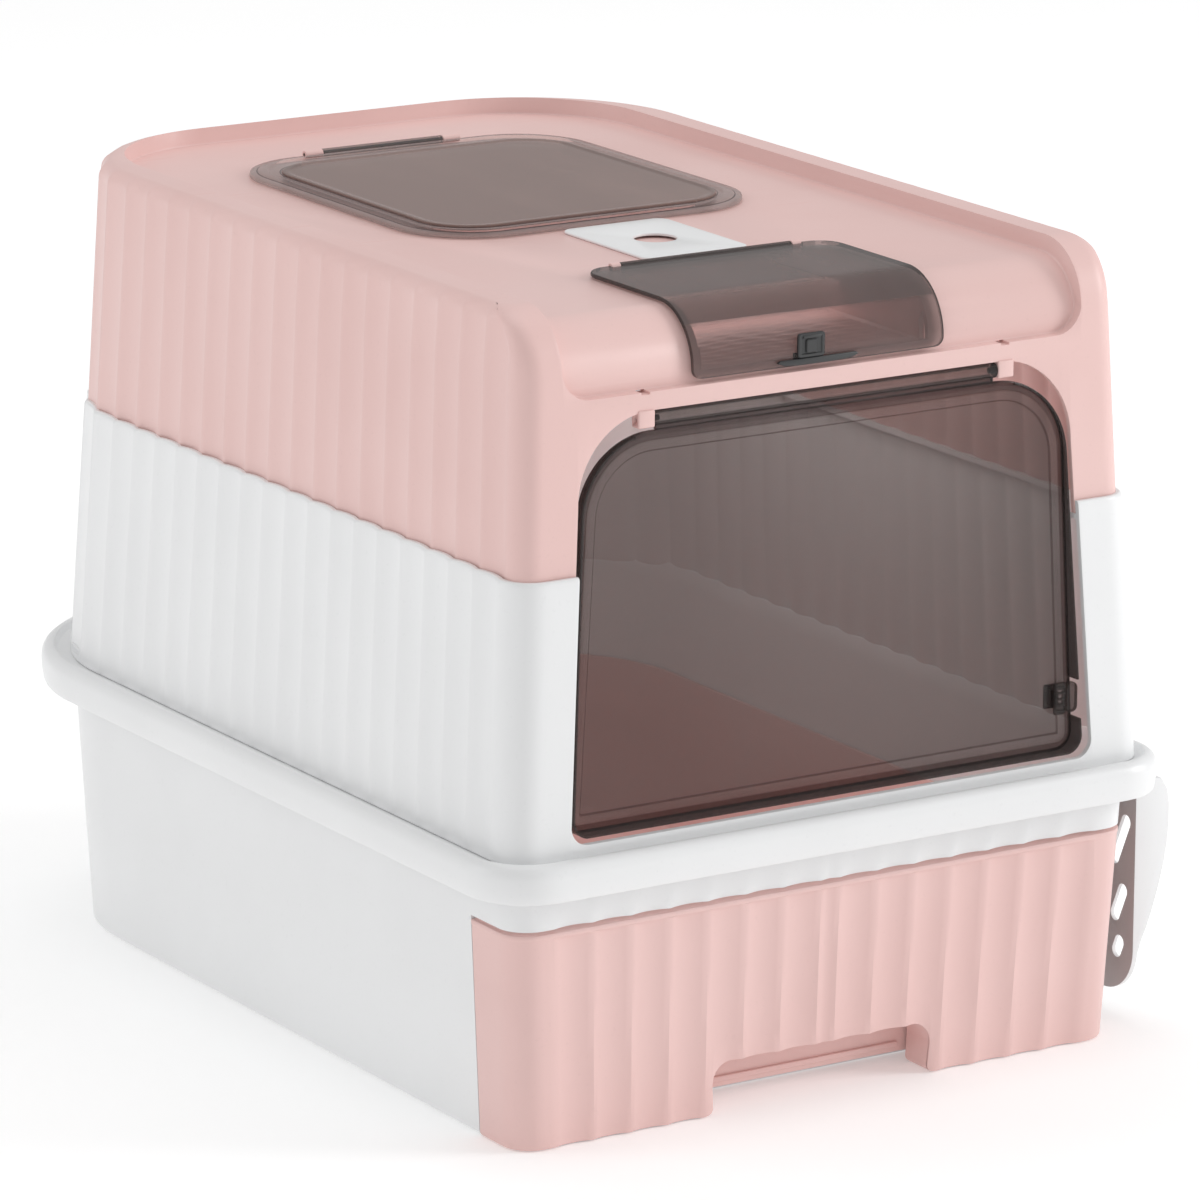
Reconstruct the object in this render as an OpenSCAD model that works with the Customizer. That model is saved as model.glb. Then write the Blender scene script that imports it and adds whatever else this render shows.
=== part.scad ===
// Hooded litter box with a pull-out litter drawer.
// Frame: +X right, +Y back, +Z up, origin on the floor under the middle of the box.

/* [Overall sizes] */
// Width across the foot of the box
foot_width = 368; // [340:400]
// Length along the foot of the box
foot_length = 526; // [500:560]
// Height of the top of the hood
total_height = 430; // [420:440]
// Wall thickness of the big mouldings
wall = 3; // [2.6:0.2:3.2]

/* [Tub and drawer] */
// Height of the underside of the tub rim
rim_low = 137; // [134:140]
// How far the rim stands out from the tub wall
rim_out = 17.5; // [15:19]
// Height of the top of the drawer front
drawer_top = 115.7; // [110:118]
// Half width of the finger notch under the drawer front
notch_half = 67.5; // [55:75]
// Height of the finger notch
notch_high = 28.6; // [22:32]

/* [Shell and hood] */
// Height where the hood drops into the shell
seam_z = 297; // [290:300]
// Half width of the entrance where shell and hood meet
entry_half = 151.5; // [148:154]
// Radius of the upper corners of the entrance
entry_radius = 44.5; // [38:50]
// Radius of the roll from the hood top to its front
roll_radius = 33; // [30:36]
// Half width of the sunk panel in the hood top
sunk_half = 157; // [150:158]

/* [Doors and lids] */
// Half width of the front door at the seam
door_half = 149.6; // [144:150]
// Thickness of the clear doors and lids
clear_thick = 2.8; // [2.4:0.2:3]
// Half width of the top lid
lid_half = 104; // [98:106]
// Half width of the storage cover
cover_half = 76; // [72:84]
// How far left of the middle the storage cover sits
cover_left = 3.8; // [0:0.2:5]
// Radius of the thin hinge pins
pin_radius = 1.2; // [1:0.1:1.3]
// Radial play of a pin in its hole
play = 0.05; // [0.02:0.01:0.08]

/* [Scoop] */
// Width of the scoop
scoop_width = 102; // [90:106]
// Depth of the scoop's side walls
scoop_deep = 22; // [16:24]
// Width of the slots in the scoop
slot_width = 8; // [5:8]

/* [Hidden] */
fx = foot_width / 2;
fy = foot_length / 2;
rim_top = rim_low + 20.5;
seat_z = rim_low + 17;         // the shell stands here
lean = 6 / 137;                // how far a wall leans out per mm of height
front_r = 16;
back_r = 98;
wrap_y = -(fy - 38);           // the drawer front wraps round the corners to here
shell_lo = [fx + 11.3, fy + 10.5];
shell_hi = [fx + 3.5, fy + 4.5];
hood_lo = [fx + 0.2, fy + 1.2];
hood_hi = [fx - 6, fy - 5];
tuck = 7;                      // how deep the hood sits inside the shell
floor_z = total_height - 9.5;  // floor of the sunk panel
face_y = -(fy - 4);            // plane of the hood's front face near its top
roll_c = [face_y + roll_radius, total_height - roll_radius];
sunk_c = [face_y + 35.5, total_height - 40];
sunk_r = floor_z - sunk_c[1];
lip_z = total_height - 45.5;    // where the sunk panel ends on the front face
entry_top = total_height - 54.8;
hinge_z = total_height - 59.4;  // door pivot
hinge_y = face_y + 1;
lug_in = 103.9;                // inner face of the lugs that hang the door
bar_r = 4.1;
lid_y = [-53, 181];
lid_hinge = [183.6, floor_z + 2.9];
cover_hinge = [-151.5, floor_z + 2.3];
bin_back = -154;
scoop_x = fx + 26;
scoop_y = 69 - fy;
slot_pitch = (scoop_width - 27) / 5;
tray_y = -fy + 24;
tray_top = 99;
lock_z = rim_top + 25;
cover_c = [sunk_c[0] - 2, sunk_c[1] + 1];
cover_r = 32.6;
latch_x = -10;                 // middle of the catch on the storage cover
pink = [0.9, 0.75, 0.73];
white = [0.9, 0.9, 0.9];
smoke = [0.25, 0.22, 0.22, 0.6];
$fn = 48;

function arc(cx, cy, r, a0, a1, n) =
    [for (i = [0:n]) [cx + r * cos(a0 + (a1 - a0) * i / n), cy + r * sin(a0 + (a1 - a0) * i / n)]];

// Rectangle with small front corners and big back corners.
module plan(h, rf, rb) {
    polygon(concat(arc(h[0] - rb, h[1] - rb, rb, 0, 90, 16), arc(rb - h[0], h[1] - rb, rb, 90, 180, 16),
                   arc(rf - h[0], rf - h[1], rf, 180, 270, 6), arc(h[0] - rf, rf - h[1], rf, 270, 360, 6)));
}

// A leaning block of that plan from height z0 to z1, drawn in by g all round.
module block(z0, z1, lo, hi, g = 0, rf = front_r, rb = back_r)
    translate([0, 0, z0])
        linear_extrude(z1 - z0, slices = 1, scale = [(hi[0] - g) / (lo[0] - g), (hi[1] - g) / (lo[1] - g)])
            plan([lo[0] - g, lo[1] - g], max(rf - g, 1.5), max(rb - g, 2));

function lean_at(z) = [fx + z * lean, fy + z * lean];
module foot(z0, z1, g = 0) block(z0, z1, lean_at(z0), lean_at(z1), g);

module box(a, b) translate(a) cube(b - a);
module rounded(h, k, r) polygon(concat(arc(h - r, k[1] - r, r, 0, 90, 8), arc(r - h, k[1] - r, r, 90, 180, 8),
                                       arc(r - h, k[0] + r, r, 180, 270, 8), arc(h - r, k[0] + r, r, 270, 360, 8)));
module along_x(h) rotate([90, 0, 90]) translate([0, 0, -h]) linear_extrude(2 * h) children();
module along_y(y0, y1) translate([0, y1, 0]) rotate([90, 0, 0]) linear_extrude(y1 - y0) children();
module rod(x0, x1, p, r) translate([x0, p[0], p[1]]) rotate([0, 90, 0]) cylinder(x1 - x0, r, r);

// ---- tub -------------------------------------------------------------
module base_tub() color(white) {
    difference() {
        union() {
            foot(0, rim_low);
            block(rim_low, seat_z, lean_at(rim_low), lean_at(rim_low) + [0.6, 0.6]);
            rim();
        }
        difference() {
            foot(wall, seat_z + 9, wall);
            for (s = [-1, 1]) box([s * 110 - 4, wrap_y, wall], [s * 110 + 4, 150, wall + 2.4]);
        }
        box([-300, -400, -1], [300, wrap_y, drawer_top + 2]);
    }
}

// Rolled rim: a skirt outside, a groove on top and a spigot that locates the shell.
module rim() difference() {
    union() {
        foot(rim_low, rim_top, -rim_out);
        spigot(seat_z - 2);
    }
    foot(rim_low - 1, rim_top - 6, -rim_out + 3);
    difference() {
        foot(seat_z, rim_top + 9, -rim_out + 4);
        spigot(seat_z - 1);
    }
}
module spigot(z) block(z, seat_z + 6, lean_at(z), lean_at(z) + [0.2, 0.2], 1.3, front_r, back_r + 13);

// ---- drawer ----------------------------------------------------------
module notch(g = 0) along_y(-400, -100)
    polygon(concat([[-notch_half - g, -5], [notch_half + g, -5]],
                   arc(notch_half + g - 12, notch_high + g - 12, 12, 0, 90, 8),
                   arc(12 - notch_half - g, notch_high + g - 12, 12, 90, 180, 8)));

module drawer_front() color(pink) difference() {
    foot(0, drawer_top);
    difference() {
        foot(-1, drawer_top - 2.6, wall);
        difference() { notch(2.6); box([-100, -400, -9], [100, -fy + 2, 99]); }
    }
    notch();
    box([-300, wrap_y - 0.4, -1], [300, 400, 200]);
    box([-fx + 14, tray_y, -1], [fx - 14, 400, 200]);
}

module drawer_tray() color(pink) difference() {
    union() {
        intersection() {
            foot(6, tray_top, wall + 1.4);
            box([-300, tray_y + 0.2, 0], [300, 400, 200]);
        }
        box([-fx + 15, tray_y + 0.2, 90], [fx - 15, tray_y + 2.8, drawer_top]);
    }
    intersection() {
        foot(8.6, tray_top + 1, wall + 4);
        box([-300, tray_y + 2.8, 0], [300, 400, 200]);
    }
}

// ---- shell -----------------------------------------------------------
module mid_shell() color(white) difference() {
    union() {
        difference() {
            block(seat_z + 0.1, seam_z, shell_lo, shell_hi, 0, front_r + 1, back_r + 12);
            block(seat_z, seam_z + 1, shell_lo, shell_hi, wall, front_r + 1, back_r + 12);
        }
        ledge();
    }
    entrance(-5);
}

// Narrow shelf inside the shell that the hood stands on.
module ledge() difference() {
    z = seam_z - tuck;
    block(z - 3.2, z - 0.1, shell_hi + [0.3, 0.3], shell_hi + [0.2, 0.2], 1, front_r, back_r + 10);
    block(z - 9, z + 1, hood_lo, hood_lo, 6, front_r, back_r + 4);
    box([-fx + 16, -400, z - 9], [fx - 16, -fy + 20, z + 1]);
}

function entry_at(z) = entry_half + (seam_z - z) * 7.3 / 127;
module entrance(g = 0) along_y(-400, -fy + 60) {
    z0 = rim_low + 23.4;
    polygon(concat([[-entry_at(330), 330], [-entry_at(z0 + 12), z0 + 12]],
                   arc(-entry_at(z0) + 10, z0 + 10, 10, 185, 270, 6),
                   arc(entry_at(z0) - 10, z0 + 10, 10, 270, 355, 6),
                   [[entry_at(330), 330]],
                   arc(entry_at(330) - entry_radius, entry_top - entry_radius, entry_radius, 0, 90, 10),
                   arc(entry_radius - entry_at(330), entry_top - entry_radius, entry_radius, 90, 180, 10)));
}

// ---- hood ------------------------------------------------------------
module hood() color(pink) difference() {
    hood_body();
    sunk();
    hood_hollow();
    entrance();
    translate([0, 0, floor_z - 6]) linear_extrude(9) rounded(lid_half - 19, [lid_y[0] + 18, lid_y[1] - 26], 32);
    translate([0, 0, floor_z - 6]) linear_extrude(9) rounded(28, [-136, -58], 4);
    box([7 - cover_half - cover_left, -400, lip_z + 7.5], [cover_half - 7 - cover_left, -159, total_height]);
    for (s = [-1, 1]) box([s * 108.8 - 2.5, -400, lip_z - 1.3], [s * 108.8 + 2.5, face_y + 19, lip_z + 0.2]);
}

module hood_body() {
    intersection() {
        union() {
            block(seam_z - tuck, total_height - 8, hood_lo, hood_hi + [0.3, 0.3], 0, 12, back_r + 4);
            block(total_height - 8.01, total_height - 3, hood_hi + [0.3, 0.3], hood_hi - [1, 1], 0, 12, back_r + 4);
            block(total_height - 3.01, total_height, hood_hi - [1, 1], hood_hi - [5, 5], 0, 11, back_r + 3);
        }
        rolled(roll_c, roll_radius, total_height, 0, 400);
    }
    hinge_ears(lid_hinge, 38.3, 49.5);
    hinge_ears(cover_hinge, 52.3, 58, -cover_left);
}

// Everything below the roll: used for the outside and, drawn in, for the inside.
module rolled(c, r, top, g, hx) along_x(hx)
    polygon(concat([[400, 200], [400, top], [c[0], top]], arc(c[0], c[1], r, 90, 180, 12),
                   [[c[0] - r, lip_z - g], [-400, lip_z - g], [-400, 200]]));

// The sunk panel: follows the roll down and stops above the door.
module sunk(g = 0) intersection() {
    along_x(sunk_half + g)
        polygon(concat([[400, 600], [400, floor_z - g], [sunk_c[0], floor_z - g]],
                       arc(sunk_c[0], sunk_c[1], sunk_r - g, 90, 180, 12),
                       [[sunk_c[0] - sunk_r + g, lip_z - g], [-400, lip_z - g], [-400, 600]]));
    along_y(-400, 400) rounded(sunk_half + g, [lip_z - g, 700], 16);
    translate([0, 0, 300]) linear_extrude(300)
        rounded(sunk_half + g, [-500, fy - 13 + g], back_r - 20);
}

module hood_hollow() difference() {
    intersection() {
        block(seam_z - tuck - 1, total_height - 4, hood_lo, hood_hi - [0.6, 0.6], wall, 12, back_r + 4);
        rolled(roll_c, roll_radius - wall, total_height - wall, 0, 400);
    }
    sunk(wall);
}

module hinge_ears(p, x0, x1, mid = 0) translate([mid, 0, 0]) difference() {
    for (s = [-1, 1]) hull() {
        rod(s > 0 ? x0 : -x1, s > 0 ? x1 : -x0, p, 2.2);
        box([s > 0 ? x0 : -x1, p[0] - 2.2, floor_z - 1], [s > 0 ? x1 : -x0, p[0] + 2.2, floor_z + 0.1]);
    }
    rod(-100, 100, p, pin_radius);
}

// Two lugs that hang the door; each snaps into the slot above it.
module door_hangers() color(pink) for (s = [-1, 1]) difference() {
    union() {
        box([s * 108.8 - 4.9, hinge_y - 3.4, hinge_z - 4.1], [s * 108.8 + 4.9, hinge_y + 3.4, entry_top]);
        box([s * 108.8 - 2.4, hinge_y + 2.2, entry_top - 0.1], [s * 108.8 + 2.4, hinge_y + 3.4, entry_top + 5.8]);
    }
    rod(-120, 120, [hinge_y, hinge_z], 1.6 + play);
}

// ---- front door ------------------------------------------------------
function door_at(z) = door_half + (seam_z - 7 - z) * 7.3 / 127;
module door_shape(g = 0) {
    low = rim_top + 14.5;
    high = hinge_z - 49.1;
    polygon(concat(arc(door_at(low) - 10, low, 10 - g, 270, 357, 6), arc(door_at(high) - 43, high, 43 - g, 3, 90, 10),
                   arc(43 - door_at(high), high, 43 - g, 90, 177, 10), arc(10 - door_at(low), low, 10 - g, 183, 270, 6)));
}

module front_door() color(smoke) difference() {
    union() {
        along_y(hinge_y - 1.4, hinge_y + clear_thick - 1.4) door_shape();
        along_y(hinge_y - 2.2, hinge_y) difference() { door_shape(4.8); door_shape(8.8); }
        rod(-lug_in + 0.4, lug_in - 0.4, [hinge_y, hinge_z], bar_r);
        box([-lug_in + 0.4, hinge_y - 1.4, hinge_z - 10.6], [lug_in - 0.4, hinge_y + 1.4, hinge_z]);
    }
    rod(-200, -90, [hinge_y, hinge_z], 1.6);
    rod(90, 200, [hinge_y, hinge_z], 1.6);
    box([142.4, hinge_y - 9, lock_z + 4.5], [151.2, hinge_y + 9, lock_z + 12.5]);
}

module door_pins() color(smoke) for (s = [-1, 1])
    rod(s > 0 ? 90 : -112, s > 0 ? 112 : -90, [hinge_y, hinge_z], 1.6);

module door_lock() color(smoke) {
    box([142.8, hinge_y - 6, lock_z], [156.8, hinge_y - 2.4, lock_z + 17]);
    box([142.8, hinge_y - 2.5, lock_z + 4.9], [146.4, hinge_y + clear_thick - 1.3, lock_z + 12.1]);
    box([140.6, hinge_y + clear_thick - 1.3, lock_z + 2], [149, hinge_y + clear_thick + 0.6, lock_z + 15]);
}

// ---- storage pocket --------------------------------------------------
module storage_bin() color(pink) intersection() {
    difference() {
        h = cover_half - 3.5;
        box([-h - cover_left, face_y + 7.7, lip_z + 0.5], [h - cover_left, bin_back, floor_z - wall - 0.1]);
        box([2 - h - cover_left, face_y + 9.5, lip_z + 2.5], [h - 2 - cover_left, bin_back - 2, floor_z]);
    }
    rolled(sunk_c, sunk_r - wall - 0.1, floor_z - wall - 0.1, 9, 200);
}

module cover_skin(r, top, low) polygon(concat([[cover_hinge[0], low], [cover_hinge[0], top], [cover_c[0], top]],
    arc(cover_c[0], cover_c[1], r, 90, 180, 14), [[cover_c[0] - r, lip_z + 2.5], [cover_c[0] - r + top - low, lip_z + 2.5],
    [cover_c[0] - r + top - low, cover_c[1]]], arc(cover_c[0], cover_c[1], r - top + low, 180, 90, 14)));

module storage_cover() color(smoke) translate([-cover_left, 0, 0]) difference() {
    union() {
        intersection() {
            along_x(cover_half) cover_skin(cover_r, cover_c[1] + cover_r, cover_c[1] + cover_r - 2.2);
            translate([0, 0, 300]) linear_extrude(300) rounded(cover_half, [-400, cover_hinge[0]], 14);
        }
        rod(-52, 52, cover_hinge, 2.1);
    }
    for (s = [-1, 1]) box([s * 55.15 - 3.15, cover_hinge[0] - 3, floor_z], [s * 55.15 + 3.15, cover_hinge[0] + 3, 500]);
    rod(-60, 60, cover_hinge, pin_radius + play);
    box([latch_x + cover_left - 6.1, -400, sunk_c[1] + 1], [latch_x + cover_left + 6.1, face_y + 9, sunk_c[1] + 6.4]);
}

module storage_rod() color([0.5, 0.5, 0.5]) translate([-cover_left, 0, 0]) rod(-58, 58, cover_hinge, pin_radius);

// Sliding catch: a block through a slot in the cover, with a strip to lift it by.
module storage_latch() color([0.15, 0.15, 0.15]) translate([latch_x, 0, 0]) {
    y = cover_c[0] - cover_r;
    z = sunk_c[1];
    box([-5.9, y - 0.4, z + 1.2], [5.9, y + 2.9, z + 3]);
    box([-8, y - 2.2, z + 1], [8, y - 0.3, z + 13.5]);
    box([-8, y + 2.8, z - 3.4], [8, y + 3.5, z + 3]);
}
module latch_pull() color([0.15, 0.15, 0.15]) translate([latch_x + 4, 0, 0]) {
    y = cover_c[0] - cover_r;
    box([-24.5, y - 2, sunk_c[1] - 2.6], [24.5, y - 0.3, sunk_c[1] + 0.8]);
}

// ---- top lid ---------------------------------------------------------
module top_lid() color(smoke) difference() {
    union() {
        translate([0, 0, floor_z + 0.3]) linear_extrude(3.4) rounded(lid_half, lid_y, 45);
        rod(-38, 38, lid_hinge, 2.3);
        box([-38, lid_y[1] - 4, floor_z + 1.6], [38, lid_hinge[0], floor_z + 3.7]);
    }
    translate([0, 0, floor_z]) linear_extrude(9) pane(17);
    translate([0, 0, floor_z + 1.9]) linear_extrude(9) pane(14);
    rod(-60, 60, lid_hinge, pin_radius + play);
    for (s = [-1, 1]) box([s * 44 - 5.9, lid_hinge[0] - 2.6, floor_z], [s * 44 + 5.9, 300, 600]);
}

module pane(g) rounded(lid_half - g, [lid_y[0] + g, lid_y[1] - g * 1.5], 45 - g);
module lid_window() color(smoke) translate([0, 0, floor_z + 2]) linear_extrude(2.7) pane(14.2);
module lid_rod() color([0.5, 0.5, 0.5]) rod(-49.5, 49.5, lid_hinge, pin_radius);

// ---- filter pocket ---------------------------------------------------
module filter_cup() color(pink) difference() {
    box([-31, -139, floor_z - 9.5], [31, -55, floor_z - wall - 0.1]);
    box([-29, -137, floor_z - 7.5], [29, -57, floor_z]);
}
module filter_cover() color(white) difference() {
    union() {
        translate([0, 0, floor_z + 0.1]) linear_extrude(1.4) rounded(32, [-140.5, -54.5], 7);
        translate([0, 0, floor_z - 5]) linear_extrude(5.5) difference() {
            rounded(27.6, [-135.6, -58.4], 4);
            rounded(26, [-134, -60], 3);
        }
    }
    translate([0, -97.5, floor_z - 9]) cylinder(30, 11.5, 11.5);
}

// ---- scoop -----------------------------------------------------------
// The scoop is drawn lying flat against the wall: local x runs along the wall,
// local y points at it, and the bowl opens away from it.
module slab(d) rotate([90, 0, 0]) linear_extrude(d) children();
module scoop_outline(g = 0) rounded(scoop_width / 2 - g, [12 + g, 160], 26 - g);

module scoop_bowl() intersection() {
    difference() {
        slab(scoop_deep) scoop_outline();
        translate([0, -2.5, 0]) slab(scoop_deep) scoop_outline(2.5);
        for (row = [[97, 31], [62, 23], [37.5, 13]]) for (i = [-2.5:2.5])
            translate([i * slot_pitch, 9, 0]) slab(20) translate([0, row[0]]) rotate(24)
                rounded(slot_width / 2, [-row[1] / 2, row[1] / 2], slot_width / 2 - 0.05);
    }
    rotate([90, 0, 90]) translate([0, 0, -99]) linear_extrude(198)
        polygon([[1, 10], [-3, 10], [-3.2, 36], [-8, 48], [-16, 72], [1 - scoop_deep, 96],
                 [-scoop_deep, 112], [1 - scoop_deep, 125], [5 - scoop_deep, 132], [1, 132]]);
}

// Hangs on the tub's rim by a hook moulded behind its handle.
module scoop() color(white) translate([scoop_x, scoop_y, 0]) rotate([0, 0, 90]) {
    scoop_bowl();
    difference() {
        box([-13, -12, 129], [13, 0, 252]);
        box([-10.5, -30, 133], [10.5, -2.5, 247]);
        translate([0, 9, 240]) slab(30) circle(3.5);
    }
    box([2 - scoop_width / 2, 5 - scoop_deep, 129.5], [scoop_width / 2 - 2, -1, 132]);
    hook();
}

module hook() {
    d = scoop_x - fx - 13.8;
    difference() {
        box([-9, -1, rim_top - 1.6], [9, d, rim_top + 3.6]);
        box([-10, 0.01, rim_top - 5], [10, d - 2.2, rim_top + 0.8]);
    }
}

base_tub();
drawer_front();
drawer_tray();
mid_shell();
hood();
door_hangers();
front_door();
door_pins();
door_lock();
storage_bin();
storage_cover();
storage_rod();
storage_latch();
latch_pull();
top_lid();
lid_window();
lid_rod();
filter_cup();
filter_cover();
scoop();
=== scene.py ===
import math

import bmesh
import bpy
import numpy as np
from mathutils import Matrix, Vector


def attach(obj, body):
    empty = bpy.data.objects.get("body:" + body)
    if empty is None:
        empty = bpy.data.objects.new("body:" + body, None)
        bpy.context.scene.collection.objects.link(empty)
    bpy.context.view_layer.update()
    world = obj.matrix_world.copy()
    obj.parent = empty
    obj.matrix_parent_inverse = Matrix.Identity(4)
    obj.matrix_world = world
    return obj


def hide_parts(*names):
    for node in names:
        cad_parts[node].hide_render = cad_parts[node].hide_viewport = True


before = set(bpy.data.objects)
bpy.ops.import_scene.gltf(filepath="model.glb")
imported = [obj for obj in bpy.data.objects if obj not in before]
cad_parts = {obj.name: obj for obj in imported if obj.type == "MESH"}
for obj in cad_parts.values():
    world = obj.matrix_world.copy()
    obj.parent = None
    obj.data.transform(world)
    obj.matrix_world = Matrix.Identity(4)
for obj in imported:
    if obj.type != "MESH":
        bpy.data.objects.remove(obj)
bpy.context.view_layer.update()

# %% [markdown]
# Moulded plastic is never quite one colour: flow, dust and handling change its shade and gloss a
# little. Such maths is easiest to read as Python, so one class wraps a shader socket and turns
# + and * into Math nodes, and one method makes any other node.
# %% Shader helpers
class Sock:
    """A shader value that can be used in Python arithmetic."""

    def __init__(self, tree, socket):
        self.tree, self.socket = tree, socket

    def _math(self, operation, a, b):
        n = self.tree.nodes.new("ShaderNodeMath")
        n.operation = operation
        for slot, value in zip(n.inputs, (a, b)):
            if isinstance(value, Sock):
                self.tree.links.new(value.socket, slot)
            else:
                slot.default_value = value
        return Sock(self.tree, n.outputs[0])

    def __add__(self, other):
        return self._math("ADD", self, other)

    def __radd__(self, other):
        return self._math("ADD", other, self)

    def __mul__(self, other):
        return self._math("MULTIPLY", self, other)

    def __rmul__(self, other):
        return self._math("MULTIPLY", other, self)


class Finish:
    """A material under construction."""

    def __init__(self, name):
        self.material = bpy.data.materials.new(name)
        self.material.use_nodes = True
        self.tree = self.material.node_tree
        self.bsdf = self.tree.nodes["Principled BSDF"]
        self.out = self.tree.nodes["Material Output"]
        self.place = self.node("ShaderNodeTexCoord", out="Object")

    def node(self, kind, settings=None, sockets=None, out=0):
        n = self.tree.nodes.new(kind)
        for key, value in (settings or {}).items():
            setattr(n, key, value)
        self.feed(n, sockets or {})
        return Sock(self.tree, n.outputs[out])

    def feed(self, n, sockets):
        for key, value in sockets.items():
            if isinstance(value, Sock):
                self.tree.links.new(value.socket, n.inputs[key])
            else:
                n.inputs[key].default_value = value

    def noise(self, scale, detail=3.0, roughness=0.5):
        return self.node("ShaderNodeTexNoise", None,
                         {"Vector": self.place, "Scale": scale, "Detail": detail, "Roughness": roughness})

    def stretched(self, stretch, scale, detail=2.0):
        moved = self.node("ShaderNodeVectorMath", {"operation": "MULTIPLY"}, {0: self.place, 1: stretch})
        return self.node("ShaderNodeTexNoise", None, {"Vector": moved, "Scale": scale, "Detail": detail})

    def mix(self, factor, a, b):
        return self.node("ShaderNodeMix", {"data_type": "RGBA"}, {0: factor, 6: a, 7: b}, out=2)

    def band(self, value, low, high):
        return self.node("ShaderNodeMapRange", {"interpolation_type": "SMOOTHSTEP"},
                         {"Value": value, "From Min": low, "From Max": high})


# %% [markdown]
# Both big plastics are the same ABS moulding: a satin skin with a faint orange peel, slightly
# duller where hands rub, and a few hair-fine scuffs. Only the pigment differs.
# %% Moulded plastics
def moulded(name, colour, deeper, rough, peel=0.00004):
    f = Finish(name)
    cloud = f.band(f.noise(7.0, 4.0), 0.35, 0.68)
    speck = f.band(f.noise(420.0, 2.0), 0.62, 0.75)
    scuff = f.band(f.stretched((0.15, 1.0, 1.6), 140.0), 0.66, 0.74)
    tone = f.mix(cloud * 0.55, (*colour, 1), (*deeper, 1))
    tone = f.mix(speck * 0.10, tone, (*[c * 0.8 for c in deeper], 1))
    f.feed(f.bsdf, {"Base Color": tone, "Roughness": rough + 0.07 * cloud + 0.10 * scuff,
                    "IOR": 1.5, "Specular IOR Level": 0.45,
                    "Normal": f.node("ShaderNodeBump", None,
                                     {"Strength": 0.35, "Distance": peel,
                                      "Height": f.noise(520.0, 3.0) + 0.6 * scuff})})
    f.material.diffuse_color = (*colour, 1)
    print(name, "roughness about", rough)
    return f.material


PINK = moulded("pink_plastic", (0.830, 0.575, 0.545), (0.790, 0.530, 0.500), 0.36)
WHITE = moulded("white_plastic", (0.86, 0.865, 0.87), (0.82, 0.825, 0.83), 0.30)
DARK = moulded("dark_plastic", (0.042, 0.043, 0.044), (0.030, 0.030, 0.031), 0.34)
# painted shade: a grey copy of the white plastic for the scoop bowl's back face, where the white scoop lies
# in shadow between the scoop and the tub
PAINTED_SHADE = moulded("painted_shade_plastic", (0.42, 0.385, 0.38), (0.36, 0.325, 0.32), 0.45)

# %% [markdown]
# The smoky sheet is tinted clear polystyrene. Light passes straight through such a thin sheet, so
# a tinted see-through shader mixed with a glossy one by Fresnel looks right and renders cleanly.
# Faint smears and dust roughen the reflection.
# %% Smoky clear plastic
def smoky(name, tint, haze, body):
    f = Finish(name)
    smear = f.band(f.stretched((1.0, 0.25, 0.5), 26.0, 3.0), 0.45, 0.75)
    dust = f.band(f.noise(600.0, 2.0), 0.64, 0.78)
    tone = f.mix(smear * 0.25 + dust * 0.2, (*body, 1), (*[c * 1.5 for c in body], 1))
    f.feed(f.bsdf, {"Base Color": tone,
                    "Roughness": 0.12 + 0.10 * smear, "IOR": 1.5,
                    "Normal": f.node("ShaderNodeBump", None, {"Strength": 0.04, "Distance": 0.00003,
                                                              "Height": f.noise(300.0, 2.0)})})
    through = f.node("ShaderNodeBsdfTransparent", None, {"Color": (*tint, 1)})
    gloss = f.node("ShaderNodeFresnel", None, {"IOR": 1.45})
    share = haze + gloss * 0.6 + 0.03 * smear + 0.03 * dust
    both = f.node("ShaderNodeMixShader", None, {0: share, 1: through, 2: Sock(f.tree, f.bsdf.outputs[0])})
    f.feed(f.out, {"Surface": both})
    f.material.diffuse_color = (*tint, 0.6)
    print(name, "tint", tint)
    return f.material


SMOKE = smoky("smoky_clear", (0.695, 0.678, 0.67), 0.24, (0.115, 0.100, 0.097))
EDGE = smoky("smoky_edge", (0.52, 0.46, 0.45), 0.36, (0.05, 0.045, 0.045))
PALE = smoky("smoky_pale", (0.86, 0.81, 0.80), 0.24, (0.22, 0.190, 0.185))
PANE = smoky("smoky_pane", (0.88, 0.79, 0.78), 0.42, (0.34, 0.235, 0.21))
RIM = smoky("smoky_rim", (0.97, 0.945, 0.935), 0.12, (0.50, 0.43, 0.42))

# %% [markdown]
# Nearly every moulding here is one outline, a rectangle with small front corners and big back
# corners, repeated at many heights. So a mould is a loft: a stack of outlines joined by faces.
# The outline is sampled at fixed stations, and the ribs are a small wave on those stations.
# %% Outline of the box
MM = 0.001
FOOT_X, FOOT_Y, LEAN = 184.0, 263.0, 6 / 137
FRONT_R, BACK_R = 16.0, 98.0
SIDE_PITCH, FRONT_PITCH = 23.74, 22.29
LENGTHS = [FOOT_X - FRONT_R, FRONT_R * math.pi / 2, 2 * FOOT_Y - FRONT_R - BACK_R,
           BACK_R * math.pi / 2, FOOT_X - BACK_R]
STARTS = np.concatenate([[0], np.cumsum(LENGTHS)])


def stations(creases, step):
    """Stations from the middle of the front to the middle of the back, dense between creases."""
    marks = sorted(set(np.round(list(STARTS) + list(creases), 4)))
    places = [0.0]
    for a, b in zip(marks, marks[1:]):
        n = max(1, round((b - a) / step))
        places += list(a + (b - a) * np.arange(1, n + 1) / n)
    return np.array(places)


def scallop(places, creases):
    """0 on the sharp ridge between two flutes and -1 at the bottom of a flute."""
    wave = np.zeros(len(places))
    for a, b in zip(creases, creases[1:]):
        inside = (places >= a - 1e-6) & (places <= b + 1e-6)
        u = (places[inside] - a) / (b - a)
        wave[inside] = -4 * u * (1 - u)
    return wave


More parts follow.
